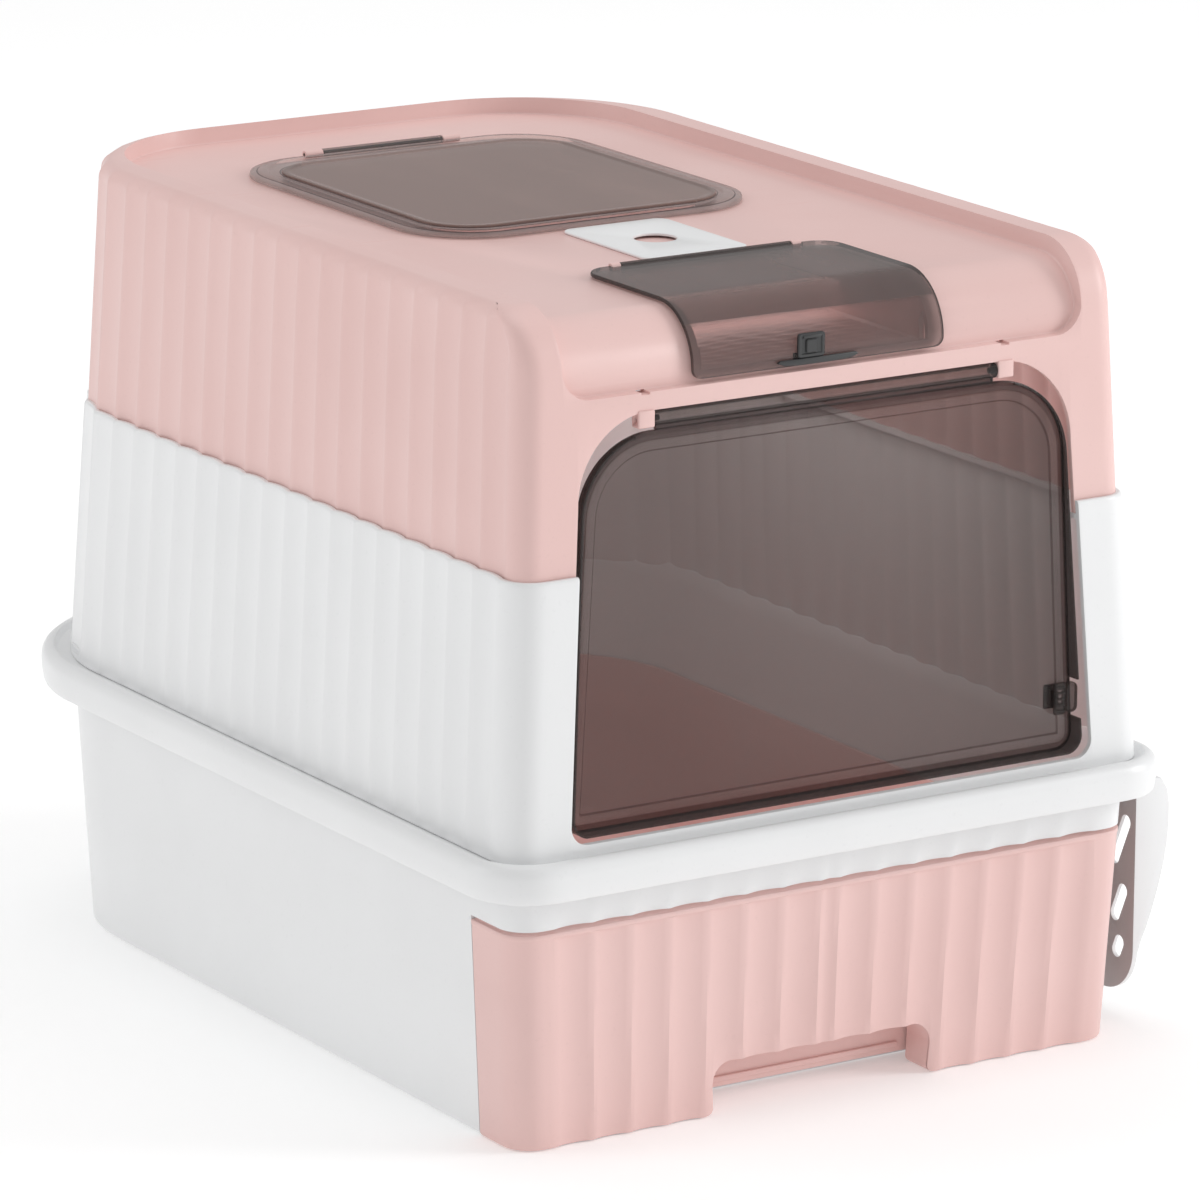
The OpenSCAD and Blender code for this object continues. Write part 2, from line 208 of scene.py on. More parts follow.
def half_outline(places, hx, yf, yb, rf, rb, full_front=None):
    """Points and outward normals down the right-hand half. yf may lie further back than the
    wall it was drawn on: then the side stations in front of it gather at the corner."""
    yf0 = yf if full_front is None else full_front
    pts, nrm = np.zeros((len(places), 2)), np.zeros((len(places), 2))
    for i, q in enumerate(places):
        k = min(int(np.searchsorted(STARTS, q - 1e-6, side="left")) - 1, 4) if q > 0 else 0
        k = max(k, 0)
        t = (q - STARTS[k]) / LENGTHS[k]
        if k == 0:
            pts[i], nrm[i] = (t * (hx - rf), yf), (0, -1)
        elif k == 1:
            a = -math.pi / 2 + t * math.pi / 2
            nrm[i] = (math.cos(a), math.sin(a))
            pts[i] = (hx - rf + rf * nrm[i][0], yf + rf + rf * nrm[i][1])
        elif k == 2:
            y = (yf0 + rf) + t * ((yb - rb) - (yf0 + rf))
            pts[i], nrm[i] = (hx, max(y, yf + rf)), (1, 0)
        elif k == 3:
            a = t * math.pi / 2
            nrm[i] = (math.cos(a), math.sin(a))
            pts[i] = (hx - rb + rb * nrm[i][0], yb - rb + rb * nrm[i][1])
        else:
            pts[i], nrm[i] = ((1 - t) * (hx - rb), yb), (0, 1)
    return pts, nrm


def ring(places, z, hx, yf, yb, rf, rb, out=0.0, wave=None, depth=0.0, full_front=None):
    pts, nrm = half_outline(places, hx, yf, yb, rf, rb, full_front)
    grow = out + (depth * wave if wave is not None else 0.0)
    pts = pts + nrm * np.reshape(grow, (-1, 1)) if np.ndim(grow) else pts + nrm * grow
    left = pts[-2:0:-1] * (-1, 1)
    loop = np.vstack([pts, left])
    return np.column_stack([loop, np.full(len(loop), z)]) * MM


def lean_ring(places, z, out, wave=None, depth=0.0):
    d = z * LEAN
    return ring(places, z, FOOT_X + d, -FOOT_Y - d, FOOT_Y + d, FRONT_R, BACK_R, out, wave, depth)


print("half outline is", round(STARTS[-1], 1), "mm long")

# %% [markdown]
# Every piece comes from a few plain moves: join outlines into a loft, push an outline along an axis,
# cut one shape with another, round the edges. Outlines are in mm and turn into metres at the end.
# %% Mesh helpers
def as_object(name, bm, material, smooth=35):
    bmesh.ops.remove_doubles(bm, verts=bm.verts, dist=2e-6)
    bmesh.ops.dissolve_degenerate(bm, edges=bm.edges, dist=1e-6)
    bmesh.ops.recalc_face_normals(bm, faces=bm.faces)
    mesh = bpy.data.meshes.new(name)
    bm.to_mesh(mesh)
    bm.free()
    o = bpy.data.objects.new(name, mesh)
    bpy.context.scene.collection.objects.link(o)
    mesh.materials.append(material)
    if smooth:
        mesh.shade_smooth()
        mesh.set_sharp_from_angle(angle=math.radians(smooth))
    return o


def loft(name, loops, material, closed=False, smooth=35):
    """Joins rings of the same length by quads. closed joins the last ring to the first."""
    bm = bmesh.new()
    rows = [[bm.verts.new(p) for p in loop] for loop in loops]
    pairs = list(zip(rows, rows[1:])) + ([(rows[-1], rows[0])] if closed else [])
    for a, b in pairs:
        for i in range(len(a)):
            j = (i + 1) % len(a)
            bm.faces.new((a[i], a[j], b[j], b[i]))
    if not closed:
        for row in (rows[0], rows[-1]):
            bm.faces.new(row)
    return as_object(name, bm, material, smooth)


def level(outline, z):
    """A plan outline laid at a height."""
    return [(x * MM, y * MM, z * MM) for x, y in outline]


def facing(outline, y):
    """A front outline stood at a depth."""
    return [(x * MM, y * MM, z * MM) for x, z in outline]


def prism(name, outline, axis, low, high, material=WHITE):
    """A flat outline pushed along an axis. The outline's two numbers are the other two axes."""
    order = {"x": (2, 0, 1), "y": (0, 2, 1), "z": (0, 1, 2)}[axis]
    loops = []
    for h in (low, high):
        flat = np.column_stack([np.array(outline, float), np.full(len(outline), h)])
        loops.append(flat[:, order] * MM)
    return loft(name, loops, material, smooth=0)


def arc(cx, cy, r, a0, a1, n=8):
    t = np.radians(np.linspace(a0, a1, n + 1))
    return list(zip(cx + r * np.cos(t), cy + r * np.sin(t)))


def rounded_box(h, low, high, r, n=8):
    return (arc(h - r, high - r, r, 0, 90, n) + arc(r - h, high - r, r, 90, 180, n)
            + arc(r - h, low + r, r, 180, 270, n) + arc(h - r, low + r, r, 270, 360, n))


def slab(y0, y1, half=300):
    """A rectangle in plan, wide enough by default to cut right across the box."""
    return [(-half, y0), (half, y0), (half, y1), (-half, y1)]


def cut(o, tool, how="DIFFERENCE"):
    m = o.modifiers.new("cut", "BOOLEAN")
    m.object, m.operation, m.solver = tool, how, "EXACT"
    apply_all(o)
    bpy.data.objects.remove(tool)
    return o


def apply_all(o):
    dg = bpy.context.evaluated_depsgraph_get()
    mesh = bpy.data.meshes.new_from_object(o.evaluated_get(dg), depsgraph=dg)
    o.modifiers.clear()
    old, o.data = o.data, mesh
    bpy.data.meshes.remove(old)
    mesh.name = o.name


def soften(o, width=1.0, segments=3, angle=40):
    m = o.modifiers.new("soft edge", "BEVEL")
    m.width, m.segments, m.limit_method, m.angle_limit = width * MM, segments, "ANGLE", math.radians(angle)
    apply_all(o)
    o.data.shade_smooth()
    o.data.set_sharp_from_angle(angle=math.radians(35))
    return o


def block(name, low, high, material, soft=0.8):
    bm = bmesh.new()
    bmesh.ops.create_cube(bm, size=1)
    for v in bm.verts:
        v.co = Vector([(low[i] + high[i]) / 2 + v.co[i] * (high[i] - low[i]) for i in range(3)]) * MM
    o = as_object(name, bm, material, 0)
    return soften(o, soft) if soft else o


def rod(name, x0, x1, y, z, r, material, n=24):
    """A round rod along x with a small chamfer at each end."""
    edge = 0.25
    loops = []
    for x, rr in ((x0, r - edge), (x0 + edge, r), (x1 - edge, r), (x1, r - edge)):
        t = np.linspace(0, 2 * math.pi, n, endpoint=False)
        loops.append(np.column_stack([np.full(n, x), y + rr * np.cos(t), z + rr * np.sin(t)]) * MM)
    return loft(name, loops, material)


def shift(o, x):
    """Moves the mesh itself along x, in mm."""
    o.data.transform(Matrix.Translation((x * MM, 0, 0)))
    return o


def place(o, body, slot, *nodes):
    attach(o, body)
    if nodes:
        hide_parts(*nodes)
    lo = np.array([v.co for v in o.data.vertices])
    print(o.name, "faces", len(o.data.polygons),
          "box mm", np.round(lo.min(0) * 1000, 1), np.round(lo.max(0) * 1000, 1))
    return o


SIDES = ((-1, "left"), (1, "right"))
print("mesh helpers: loft, prism, block, rod, cut, soften, shift, place")

# %% [markdown]
# ## Tub
# The tub is smooth outside, with its rim rolled out and down like a pie dish. It is lofted as one
# section: up the outside, over the rim, into the groove and down the inside. The band above the
# drawer carries the drawer's flutes, so both are lofted from the same stations.
# %% Tub
RIDGE_X, FLUTE, OUTSIDE_ROWS = 5.575, 2.1, 6
front_creases = [RIDGE_X + FRONT_PITCH * k for k in range(-1, 8)]
side_from = STARTS[2] + 26.0
side_creases = [side_from + SIDE_PITCH * k for k in range(-1, 30)]
side_creases = [c for c in side_creases if c < STARTS[5] + SIDE_PITCH]
FRONT_PLACES = stations([c for c in front_creases if c > 0], 3.0)
FRONT_WAVE = scallop(FRONT_PLACES, front_creases)
SIDE_PLACES = stations([c for c in side_creases if c < STARTS[5]], 2.4)
SIDE_WAVE = scallop(SIDE_PLACES, side_creases)


def fluted(section):
    """Rings of a leaning wall. Only the first rows, which are its outside, carry flutes."""
    return [lean_ring(FRONT_PLACES, z, out, FRONT_WAVE, FLUTE if row < OUTSIDE_ROWS else 0.0)
            for row, (z, out) in enumerate(section)]


tub_section = [(0, -3.2), (0.5, -1.2), (2.2, 0), (60, 0), (100, 0), (118.5, 0), (134, 0), (139, 0.4),
               (149, 1.5), (151, 4), (151, 12.5), (149, 14.2), (138.2, 14.2), (137.2, 14.9),
               (137.0, 15.8), (137.4, 16.8), (139, 17.5), (144, 17.9), (150, 17.8), (153, 17.1),
               (155.4, 15.6), (157, 13.4), (157.4, 11.6), (157, 10.4), (155.4, 9.6), (154.3, 8.6),
               (154, 7), (154, 1.4), (160.0, 1.2), (160.4, 0.4), (160.4, -0.6), (159.8, -1.2),
               (150, -3), (60, -3), (6, -3), (4, -3.6), (3, -6)]
tub = loft("tub", fluted(tub_section), WHITE)
BAY_BACK, BAY_TOP = -225, 117.7
cut(tub, prism("bay", slab(-400, BAY_BACK), "z", -5, BAY_TOP))
place(tub, "tub", "white_plastic", "base_tub")
for side, word in SIDES:
    runner = block("tub_runner_" + word, (side * 110 - 4, -222, 2.6), (side * 110 + 4, 150, 5.4), WHITE)
    place(runner, "tub", "white_plastic")

# %% [markdown]
# ## Drawer
# The drawer front carries the same flutes as the tub's band above it, a slim lip along its top and a
# notch for the fingers. It wraps round both corners, so it is the whole loft with the back cut off.
# A short wall lines the notch.
# %% Drawer front
def notch_outline(grow=0.0):
    h, top, corner, flare = 67.5 + grow, 28.6 + grow, 12, 4
    foot = h + 3
    return ([(-foot, -5), (foot, -5), (foot, 0)] + arc(foot, flare, flare, 265, 185, 4)
            + arc(h - corner, top - corner, corner, 0, 90, 8)
            + arc(corner - h, top - corner, corner, 90, 180, 8)
            + arc(-foot, flare, flare, -5, -85, 4) + [(-foot, 0)])


drawer_section = [(0.0, -1.6), (0.3, -0.6), (1.4, 0), (40, 0), (80, 0), (112.6, 0), (112.9, 0.1),
                  (113.2, 0.3), (115.0, 0.3), (115.5, 0), (115.7, -0.6), (115.7, -2.5), (115.7, -24),
                  (113.1, -24), (113.1, -3), (60, -3), (0.0, -3)]
drawer = loft("drawer_front_panel", fluted(drawer_section), PINK, closed=True)
cut(drawer, prism("back", slab(-225.6, 400), "z", -50, 300))
cut(drawer, prism("behind", slab(-239.4, 400, 170), "z", -50, 300))
cut(drawer, prism("notch", notch_outline(), "y", -300, -200))
soften(drawer, 0.7, 2, 50)
place(drawer, "drawer", "pink_plastic", "drawer_front")

LINER_FRONT, LINER_BACK = -261.2, -241
inner, outer = notch_outline()[2:-1], notch_outline(2.4)[2:-1]
bm = bmesh.new()
corners = ((inner, LINER_FRONT), (inner, LINER_BACK), (outer, LINER_BACK), (outer, LINER_FRONT))
rows = [[bm.verts.new(Vector((x, y, z)) * MM) for x, z in outline] for outline, y in corners]
for a, b in zip(rows, rows[1:] + rows[:1]):
    for i in range(len(a) - 1):
        bm.faces.new((a[i], a[i + 1], b[i + 1], b[i]))
place(as_object("notch_wall", bm, PINK), "drawer", "pink_plastic")

# %% [markdown]
# The litter tray is the tub's own outline drawn in, with a rolled lip and a straight wall behind the
# drawer front.
# %% Litter tray
tray_section = [(6.0, -8), (6.4, -5.4), (8, -4.6), (60, -4.4), (96, -4.4), (96.4, -3.6), (98.6, -3.6),
                (99, -4.2), (99, -6.4), (60, -6.9), (12, -7.2), (9.4, -8.4), (8.6, -11)]
PLAIN = stations([], 14.0)
tray = loft("litter_tray", [lean_ring(PLAIN, z, out) for z, out in tray_section], PINK)
cut(tray, prism("front", slab(-400, -236.2), "z", -50, 300))
soften(tray, 0.6, 2, 50)
place(tray, "drawer", "pink_plastic", "drawer_tray")
wall = block("tray_front_wall", (-169, -238.8, 6), (169, -236.2, 112.9), PINK, 0.6)
place(wall, "drawer", "pink_plastic")
step = block("tray_front_step", (-62, -240.4, 9), (62, -238.4, 12), PINK, 0.6)
place(step, "drawer", "pink_plastic")

# %% [markdown]
# ## Shell
# The shell is ribbed on its sides and back and flat in front, where the lower part of the entrance
# is cut. A boolean cut keeps the flat wall clean, and a narrow bevel rounds the cut edge.
# %% Shell
RIB, WALL = 2.0, 3.0


def tapered(z, lo, hi, z0, z1):
    t = (z - z0) / (z1 - z0)
    return [a + (b - a) * t for a, b in zip(lo, hi)]


def shell_ring(z, out, depth):
    hx, hy = tapered(z, (195.3, 273.5), (187.5, 267.5), 154, 297)
    return ring(SIDE_PLACES, z, hx, -hy, hy, 17, 110, out, SIDE_WAVE, depth)


def entrance_half(z):
    return 151.5 + (297 - z) * 7.3 / 127


def entrance_outline():
    low, top, bend, foot, r = 160.4, 375.2, 330, 10, 44.5
    wide, narrow = entrance_half(low), entrance_half(bend)
    return ([(wide - foot + x, low + foot + y) for x, y in arc(0, 0, foot, 270, 355, 8)]
            + [(narrow, bend)] + arc(narrow - r, top - r, r, 0, 90, 16)
            + arc(r - narrow, top - r, r, 90, 180, 16) + [(-narrow, bend)]
            + [(-wide + foot + x, low + foot + y) for x, y in arc(0, 0, foot, 185, 270, 8)])


shell_section = ([(154.1, -0.8, 0), (154.5, -0.2, 0), (155.6, 0, 0.3), (158, 0, 1)]
                 + [(z, 0, 1) for z in (200, 250, 292, 295.0)]
                 + [(296.3, -0.3, 1), (297, -1.1, 1), (297, -WALL, 1), (225, -WALL, 1), (160, -WALL, 1),
                    (154.1, -WALL, 0)])
shell = loft("shell_wall", [shell_ring(z, out, RIB * w) for z, out, w in shell_section], WHITE, closed=True)
cut(shell, prism("entrance", entrance_outline(), "y", -400, -200))
soften(shell, 0.9, 3, 50)
place(shell, "shell", "white_plastic", "mid_shell")
ledge_section = [(286.8, -2.8), (286.8, -9), (289.9, -9), (289.9, -2.8)]
ledge = loft("shell_ledge", [ring(PLAIN, z, 187.5, -267.5, 267.5, 17, 110, out) for z, out in ledge_section],
             WHITE, closed=True)
cut(ledge, prism("entrance", entrance_outline(), "y", -400, -200))
place(ledge, "shell", "white_plastic")

# %% [markdown]
# ## Hood
# The hood's top rolls over to the front, and a wide panel is sunk into it that follows the roll.
# The outside is a loft whose front wall moves back as it climbs, which makes the roll. The sunk
# panel, the hollow inside and the openings are then cut out, as in the CAD model.
# %% Hood outside
TOP, FLOOR, TOP_R = 430.0, 420.5, 8.5
ROLL_Y, ROLL_Z, ROLL_R = -226.0, 397.0, 33.0
SUNK_Y, SUNK_Z, SUNK_R = -223.5, 390.0, 30.5
SUNK_HALF, SUNK_BACK, SUNK_LOW = 157, 250, 384.5


def hood_ring(z, inset, depth, wall=0.0):
    hx, hy = tapered(z, (184.2, 264.2), (178, 258), 290, 430)
    yf = -hy
    if z > ROLL_Z:
        yf = max(-hy, ROLL_Y - math.sqrt(max(0.0, (ROLL_R - wall) ** 2 - (z - ROLL_Z) ** 2)) - wall)
    front = 12 if z <= ROLL_Z else 12 - 3 * (z - ROLL_Z) / ROLL_R
    return ring(SIDE_PLACES, z, hx - inset - wall, yf + wall, hy - inset - wall, max(front - wall, 2),
                102 - inset - wall, 0, SIDE_WAVE, depth, full_front=-hy + wall)


heights = [(z, 0, 1) for z in [290, 297, 340, 380, 397] + list(np.arange(400, 421, 3))]
for turn in np.radians(np.arange(0, 91, 9)):
    heights.append((TOP - TOP_R + TOP_R * math.sin(turn), TOP_R * (1 - math.cos(turn)),
                    max(0.0, math.cos(turn)) ** 2))
hood = loft("hood_shell", [hood_ring(min(z, TOP - 0.001), inset, RIB * w) for z, inset, w in heights], PINK)
print("hood loft", len(hood.data.polygons))

# %% [markdown]
# The sunk panel's cutter is the overlap of three outlines, seen from the side, from above and from
# the front. Grown by the wall's thickness it also shapes the hollow, so the wall stays even. The
# inner flutes end below the roll, which keeps the wall closed where it is thinnest.
# %% Hood cuts
def sunk_profile(grow):
    return ([(400, 600), (400, FLOOR - grow)] + arc(SUNK_Y, SUNK_Z, SUNK_R - grow, 90, 180, 20)
            + [(SUNK_Y - SUNK_R + grow, SUNK_LOW - grow), (-400, SUNK_LOW - grow), (-400, 600)])


def sunk_tool(grow=0.0):
    half = SUNK_HALF + grow
    tool = prism("sunk", sunk_profile(grow), "x", -half, half)
    plan = rounded_box(half, -600, SUNK_BACK + grow, 78, 16)
    front = rounded_box(half, SUNK_LOW - grow, 700, 16, 10)
    cut(tool, prism("sunk_plan", plan, "z", 300, 590), "INTERSECT")
    cut(tool, prism("sunk_front", front, "y", -500, 500), "INTERSECT")
    if not grow:
        soften(tool, 2.5, 4, 50)
    return tool


LUG_X = 108.8
inner_heights = [285, 330, 380, 397] + list(np.arange(400, 424, 3)) + [423.5]
inside = loft("inside", [hood_ring(z, 0, RIB if z < 400 else 0, WALL) for z in inner_heights], PINK)
cut(inside, sunk_tool(WALL))
cut(hood, inside)
cut(hood, sunk_tool())
cut(hood, prism("entrance", entrance_outline(), "y", -400, -200))
cut(hood, prism("lid_hole", rounded_box(85, -35, 155, 32), "z", 410, 440))
cut(hood, prism("filter_hole", rounded_box(28, -136, -58, 4), "z", 410, 440))
cut(hood, prism("storage_hole", [(-72.8, -300), (65.2, -300), (65.2, -159), (-72.8, -159)], "z", 390.2, 440))
for side, _ in SIDES:
    cut(hood, block("slot", (side * LUG_X - 2.6, -300, 383.3), (side * LUG_X + 2.6, -240, 384.9), PINK, 0))
soften(hood, 1.2, 3, 50)
place(hood, "hood", "pink_plastic", "hood")

# %% [markdown]
# The lid and the storage cover turn on rods held in small round ears on the hood. The cover and its
# catch sit a little left of the middle.
# %% Hinge ears on the hood
COVER_X, CATCH_X = -3.8, -10.0
LID_HINGE, COVER_HINGE = (183.6, 423.4), (-151.5, 422.8)
for label, hinge, x0, x1, off in (("lid", LID_HINGE, 38.3, 49.5, 0),
                                  ("cover", COVER_HINGE, 52.3, 58.0, COVER_X)):
    for side, word in SIDES:
        ear = rod(f"ear_{label}_{word}", *sorted((side * x0, side * x1)), *hinge, 2.2, PINK)
        place(shift(ear, off) if off else ear, "hood", "pink_plastic")

# %% [markdown]
# ## Swing door
# The door is one flat smoky moulding with a raised bead inside its edge. It hangs from two lugs by
# pins in the ends of its thick top bar. Outlines drawn in step by step give its round edge and bead.
# A rim along its edge reaches forward to the leaning face of the shell.
# %% Swing door
HINGE_Y, HINGE_Z = -258.0, 370.6
DOOR_TOP, FACE_SLOPE = 364.5, 0.0443


def door_half(z):
    return 149.6 + (290 - z) * 7.3 / 127


def door_outline(g, y):
    r, low = 43 - g, max(10 - g, 1.0)
    bottom, top = 162 + g + low, DOOR_TOP - g - r
    hb, ht = door_half(bottom) - g - low, door_half(top) - g - r
    return facing(arc(hb, bottom, low, 270, 357, 8) + arc(ht, top, r, 3, 90, 16)
                  + arc(-ht, top, r, 90, 177, 16) + arc(-hb, bottom, low, 183, 270, 8)[:-1], y)


def rim_ring(g, flat, leaning):
    """A door outline on the flat plane or on the leaning one, whichever lies further back."""
    return [(x, max(flat * MM, (leaning + FACE_SLOPE * (z / MM - DOOR_TOP)) * MM), z)
            for x, _, z in door_outline(g, 0)]


bead = [(1.4, 12), (1.4, 0.7), (1.1, 0.15), (0.4, 0), (-0.4, 0), (-1.1, 0.15), (-1.4, 0.7), (-1.4, 4.4),
        (-1.8, 4.7), (-2.2, 5.3), (-2.2, 9.4), (-1.8, 10.0), (-1.4, 10.3), (-1.4, 14)]
door = loft("swing_door", [door_outline(g, HINGE_Y + y) for y, g in bead], SMOKE, smooth=30)
door.data.materials.append(EDGE)
count = len(door_outline(0, 0))
for p in door.data.polygons:
    if 1 <= p.index // count <= 7 or p.index // count in (10, 11):
        p.material_index = 1
FAR = -400
rim_steps = ((0.3, -259.0, FAR), (0.3, FAR, -260.4), (0.7, FAR, -260.6), (1.5, FAR, -260.4),
             (1.7, -259.0, FAR))
flange = loft("door_flange", [rim_ring(*step) for step in rim_steps], SMOKE, closed=True)
cut(flange, block("lock_gap", (135, -290, 180.5), (170, -255, 201.5), SMOKE, 0))
cut(flange, block("bar_gap", (-115, -290, 358), (115, -250, 380), SMOKE, 0))
place(flange, "door", "smoky_clear")
cut(door, block("lock_slot", (142.4, -270, 187), (151.2, -250, 195), SMOKE, 0))
place(door, "door", "smoky_clear", "front_door")
bar = rod("door_bar", -103.4, 103.4, HINGE_Y, HINGE_Z, 4.0, SMOKE, 32)
place(bar, "door", "smoky_clear")
web = block("door_bar_web", (-102, HINGE_Y - 1.3, 364.6), (102, HINGE_Y + 1.3, 366.9), EDGE, 0)
place(web, "door", "smoky_clear")
for side, word in SIDES:
    pin = rod("door_pin_" + word, *sorted((side * 100, side * 112)), HINGE_Y, HINGE_Z, 1.6, DARK)
    place(pin, "door", "dark_plastic", "door_pins")
    lug = block("door_lug_" + word, (side * LUG_X - 4.9, HINGE_Y - 3.4, 366.5),
                (side * LUG_X + 4.9, HINGE_Y + 3.4, 375.6), PINK, 0.9)
    cut(lug, rod("bore", -130, 130, HINGE_Y, HINGE_Z, 1.66, PINK))
    place(lug, "hood", "pink_plastic", "door_hangers")

# %% [markdown]
# ## Door lock
# A thumb slider near the door's lower corner: a ribbed pad to push and a rounded bolt beside it. Its
# foot passes through a slot in the door.
# %% Door lock
pad = block("lock_pad", (142.8, -263.4, 182.5), (149.4, -260.5, 199.5), SMOKE, 0.7)
place(pad, "lock", "dark_plastic", "door_lock")
for i in range(5):
    z = 184.6 + 3.2 * i
    grip = block(f"lock_rib_{i}", (143.4, -264.0, z - 0.7), (148.8, -262.9, z + 0.7), SMOKE, 0.4)
    place(grip, "lock", "dark_plastic")
bolt_steps = ((-260.5, 0.3), (-260.5, 0), (-262.9, 0), (-263.6, 0.4), (-263.8, 1.2), (-263.2, 1.6),
              (-263.2, 2.2))
bolt = loft("lock_bolt", [facing(rounded_box(3.7 - g, 182.9 + g, 199.1 - g, 3.2 - g, 6), y)
                          for y, g in bolt_steps], SMOKE)
place(shift(bolt, 153.1), "lock", "dark_plastic")
foot = block("lock_foot", (142.9, -261, 187.4), (146.3, -256.4, 194.6), EDGE, 0.2)
place(foot, "lock", "dark_plastic")
keeper = block("lock_back", (140.6, -256.5, 184.5), (149, -254.7, 197.5), EDGE, 0.5)
place(keeper, "lock", "dark_plastic")

# %% [markdown]
# ## Storage pocket and cover
# The pocket is a pink tray under the hood with a wavy floor that keeps bags from sliding. It is
# trimmed to the curve of the sunk panel above it.
# %% Storage pocket
walls = [(385, 0.6), (385.4, 0), (417.4, 0), (417.4, 1.9), (389, 2.0), (387.4, 3.2), (387, 5)]
pocket = loft("storage_pocket", [level(rounded_box(72.5 - g, -251.3 + g, -154 - g, 9 - g, 6), z)
                                 for z, g in walls], PINK)
shift(pocket, COVER_X)
UNDER_TOP, UNDER_R = 417.4, 27.2
curve = ([(400, 200), (400, UNDER_TOP), (SUNK_Y, UNDER_TOP)] + arc(SUNK_Y, SUNK_Z, UNDER_R, 90, 180, 14)
         + [(SUNK_Y - UNDER_R, 200)])
cut(pocket, prism("under_roll", curve, "x", -200, 200), "INTERSECT")
cut(pocket, block("open_front", (-70, -270, 390.2), (62, -240, 430), PINK, 0))
place(pocket, "hood", "pink_plastic", "storage_bin")


def wavy(x, y):
    """Height of the pocket's floor: ripples across it that wander and swell."""
    swell = 0.7 + 0.3 * math.sin(x * 0.35 + y * 0.2)
    return 387.6 + 0.8 * math.sin(y * 0.85 + 1.2 * math.sin(x * 0.11)) * swell


bm = bmesh.new()
grid = [[bm.verts.new(Vector((x, y, wavy(x, y))) * MM) for y in np.linspace(-248, -157.5, 60)]
        for x in np.linspace(-72.3, 64.7, 90)]
for near, far in zip(grid, grid[1:]):
    for j in range(len(near) - 1):
        bm.faces.new((near[j], far[j], far[j + 1], near[j + 1]))
place(as_object("storage_floor", bm, PINK, 60), "hood", "pink_plastic")

# %% [markdown]
# The cover is a bent smoky sheet: the same cross-section walks along its curved path, from the hinge
# forward and down over the roll, and narrows at its round corners.
# %% Storage cover
COVER_Y, COVER_Z, COVER_R, COVER_HALF, SHEET = -225.5, 391.0, 32.6, 76.0, 2.2
path = [(y, COVER_Z + COVER_R, 0, 1)
        for y in (-151.6, -151.9, -152.6, -154, -156, -159, -162, -165.6, -175, -190, -205, -218)]
path += [(COVER_Y - COVER_R * math.sin(a), COVER_Z + COVER_R * math.cos(a), -math.sin(a), math.cos(a))
         for a in np.linspace(0, math.pi / 2, 25)]
path += [(COVER_Y - COVER_R, z, -1, 0) for z in (390, 389, 388.1, 387.4, 387.0)]
lengths = [0.0]
for a, b in zip(path, path[1:]):
    lengths.append(lengths[-1] + math.hypot(b[0] - a[0], b[1] - a[1]))


def round_end(d, r):
    return 0.0 if d >= r else r - math.sqrt(max(0.0, r * r - (r - d) ** 2))


def sheet_across(w):
    """The sheet's cross-section, once round: (place across, depth below the outer face)."""
    inner_run = [(x, 0.0) for x in np.linspace(-w + 3, w - 3, 9)]
    outer_run = [(x, SHEET) for x in np.linspace(w - 3, -w + 3, 9)]
    return ([(-w + 0.5, 0.0)] + inner_run + [(w - 0.5, 0.0), (w, 0.5), (w, 1.7), (w - 0.5, SHEET)]
            + outer_run + [(-w + 0.5, SHEET), (-w, 1.7), (-w, 0.5)])


loops = []
for (y, z, out_y, out_z), run in zip(path, lengths):
    w = COVER_HALF - max(round_end(run, 14), round_end(lengths[-1] - run, 5))
    loops.append([(x * MM, (y - out_y * d) * MM, (z - out_z * d) * MM) for x, d in sheet_across(w)])
cover = shift(loft("storage_cover_sheet", loops, PALE, smooth=30), COVER_X)
for side, _ in SIDES:
    middle = COVER_X + side * 55.15
    cut(cover, block("ear_gap", (middle - 3.15, -154.8, 418), (middle + 3.15, -148, 430), PALE, 0))
cut(cover, block("catch_slot", (CATCH_X - 6.1, -265, 391), (CATCH_X + 6.1, -250, 396.4), PALE, 0))
cover.data.materials.append(EDGE)
for p in cover.data.polygons:
    if abs(p.normal.x) > 0.55 or (abs(p.center.y + 0.1516) < 0.0015 and p.normal.y > 0.5):
        p.material_index = 1
place(cover, "cover", "smoky_clear", "storage_cover")
barrel = rod("cover_barrel", COVER_X - 52, COVER_X + 52, *COVER_HINGE, 2.05, PALE)
place(barrel, "cover", "smoky_clear")
cover_rod = rod("cover_rod", COVER_X - 58, COVER_X + 58, *COVER_HINGE, 1.2, DARK)
place(cover_rod, "hood", "dark_plastic", "storage_rod")

# %% [markdown]
# The catch is a dark plate with a raised button on the cover's front. A neck through the cover joins
# it to a small tongue behind, and a dark strip lies along the cover's lower edge.
# %% Cover catch
def plate_y(name, h, low, high, r, steps):
    """A rounded dark plate facing the front; steps are (y, drawn in by)."""
    loops = []
    for y, g in steps:
        outline = rounded_box(h - g, low + g, high - g, max(r - g, 0.1), 5)
        loops.append(facing([(x + CATCH_X, z) for x, z in outline], y))
    return loft(name, loops, DARK)


